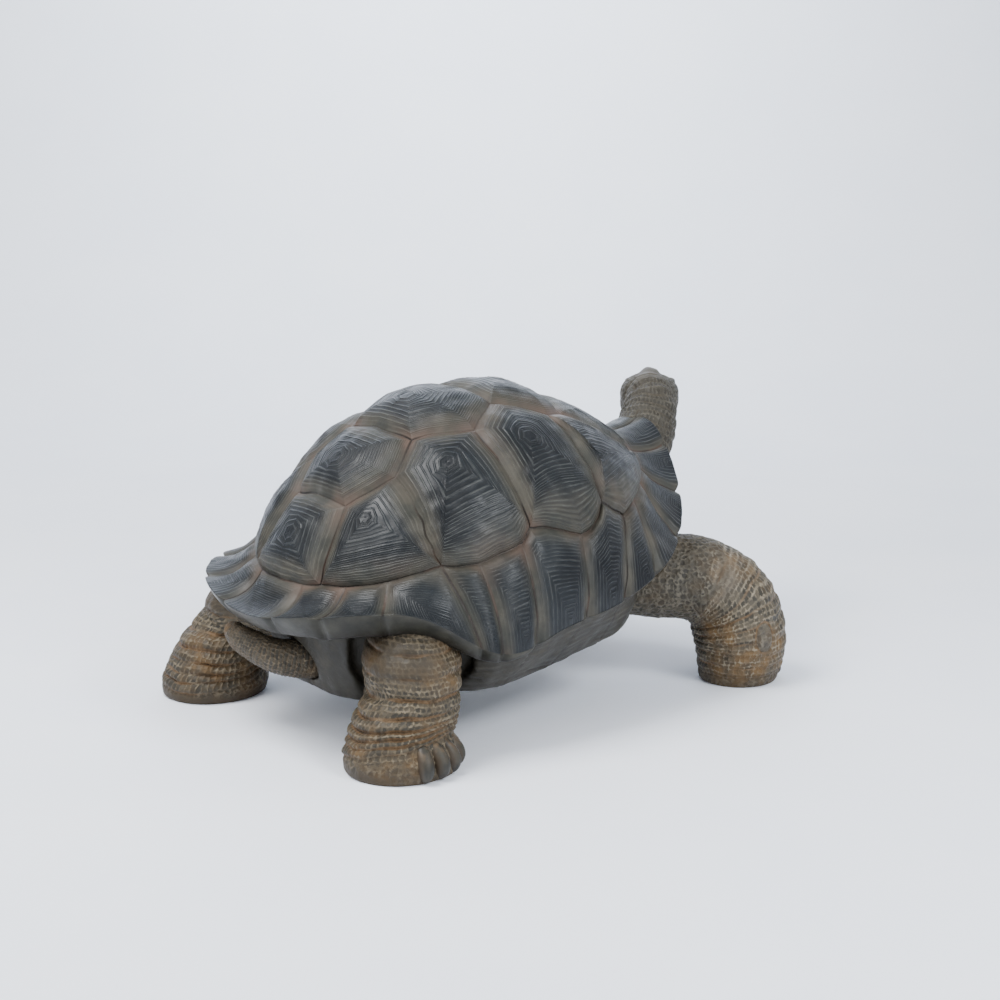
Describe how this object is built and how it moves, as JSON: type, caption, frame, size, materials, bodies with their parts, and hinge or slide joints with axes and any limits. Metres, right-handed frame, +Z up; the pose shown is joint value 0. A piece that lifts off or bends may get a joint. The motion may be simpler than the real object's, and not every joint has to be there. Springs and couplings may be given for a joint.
{
  "type": "giant tortoise statue",
  "caption": "Life-size giant tortoise statue in painted cast resin, walking, with raised shell plates, thick scaly legs and its head turned to its left.",
  "frame": {"origin": "centre of the whole part's bounding box in plan, on the floor under the soles", "axes": "+Z up, -Y the way the animal walks, +Y towards its tail, +X towards its left side"},
  "size_m": [0.77, 1.1578, 0.6007],
  "materials": {
    "shell": "painted resin, slate blue-grey with pale growth lines and brown seams, satin",
    "plastron": "painted resin, grey-green and taupe, satin",
    "skin": "painted resin, olive brown scales with pale edges and orange-brown folds, satin",
    "neck_skin": "painted resin, grey-olive small scales, satin",
    "claw": "painted resin, grey horn, satin",
    "eye": "dark brown, glossy"
  },
  "bodies": {
    "root": {"carapace": "shell", "plastron": "plastron", "torso": "skin", "leg_front_left": "skin", "leg_front_right": "skin", "leg_hind_left": "skin", "leg_hind_right": "skin", "tail": "skin", "neck": "neck_skin", "head": "neck_skin", "eye_left": "eye", "eye_right": "eye"}
  },
  "joints": []
}
